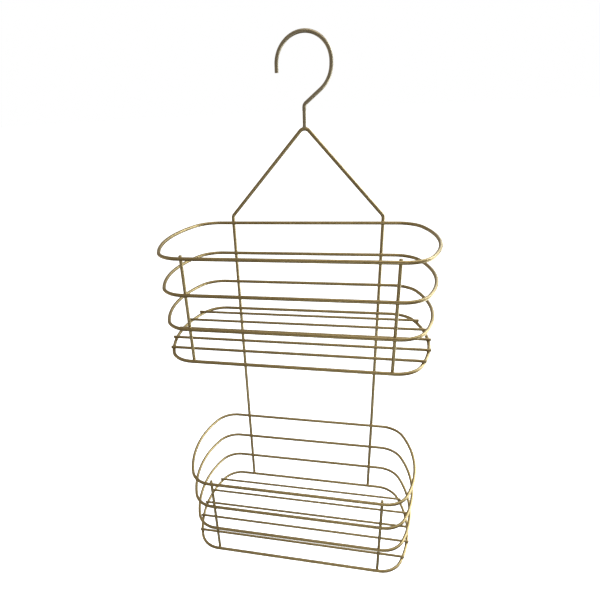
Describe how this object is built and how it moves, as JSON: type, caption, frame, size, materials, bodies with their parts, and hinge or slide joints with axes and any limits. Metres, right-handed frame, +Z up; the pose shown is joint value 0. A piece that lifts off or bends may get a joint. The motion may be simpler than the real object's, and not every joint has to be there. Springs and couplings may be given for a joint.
{
  "type": "shower caddy",
  "caption": "Hanging two-tier wire shower caddy: open-topped baskets with bowed ends on a gabled wire frame under a round hook.",
  "frame": {"origin": "top of the hook's inside, where the caddy hangs on a pipe", "axes": "+X along the baskets to the right, +Y towards the wall, +Z up"},
  "size_m": [0.2546, 0.1307, 0.5238],
  "materials": {
    "hook_wire": "satin champagne-gold lacquer over round steel wire",
    "frame_wire": "satin champagne-gold lacquer over round steel wire",
    "ring_wire": "satin champagne-gold lacquer over round steel wire",
    "upright_wire": "satin champagne-gold lacquer over round steel wire",
    "floor_wire": "satin champagne-gold lacquer over round steel wire"
  },
  "bodies": {
    "root": {"hook": "hook_wire", "frame_wire": "frame_wire", "upper_top_ring": "ring_wire", "upper_second_ring": "ring_wire", "upper_third_ring": "ring_wire", "upper_floor_ring": "ring_wire", "upper_floor_wire_1": "floor_wire", "upper_floor_wire_2": "floor_wire", "upper_floor_wire_3": "floor_wire", "upper_floor_wire_4": "floor_wire", "upper_floor_wire_5": "floor_wire", "upper_front_upright_left": "upright_wire", "upper_front_upright_right": "upright_wire", "lower_top_ring": "ring_wire", "lower_second_ring": "ring_wire", "lower_third_ring": "ring_wire", "lower_floor_ring": "ring_wire", "lower_floor_wire_1": "floor_wire", "lower_floor_wire_2": "floor_wire", "lower_floor_wire_3": "floor_wire", "lower_floor_wire_4": "floor_wire", "lower_floor_wire_5": "floor_wire", "lower_front_upright_left": "upright_wire", "lower_front_upright_right": "upright_wire"}
  },
  "joints": []
}
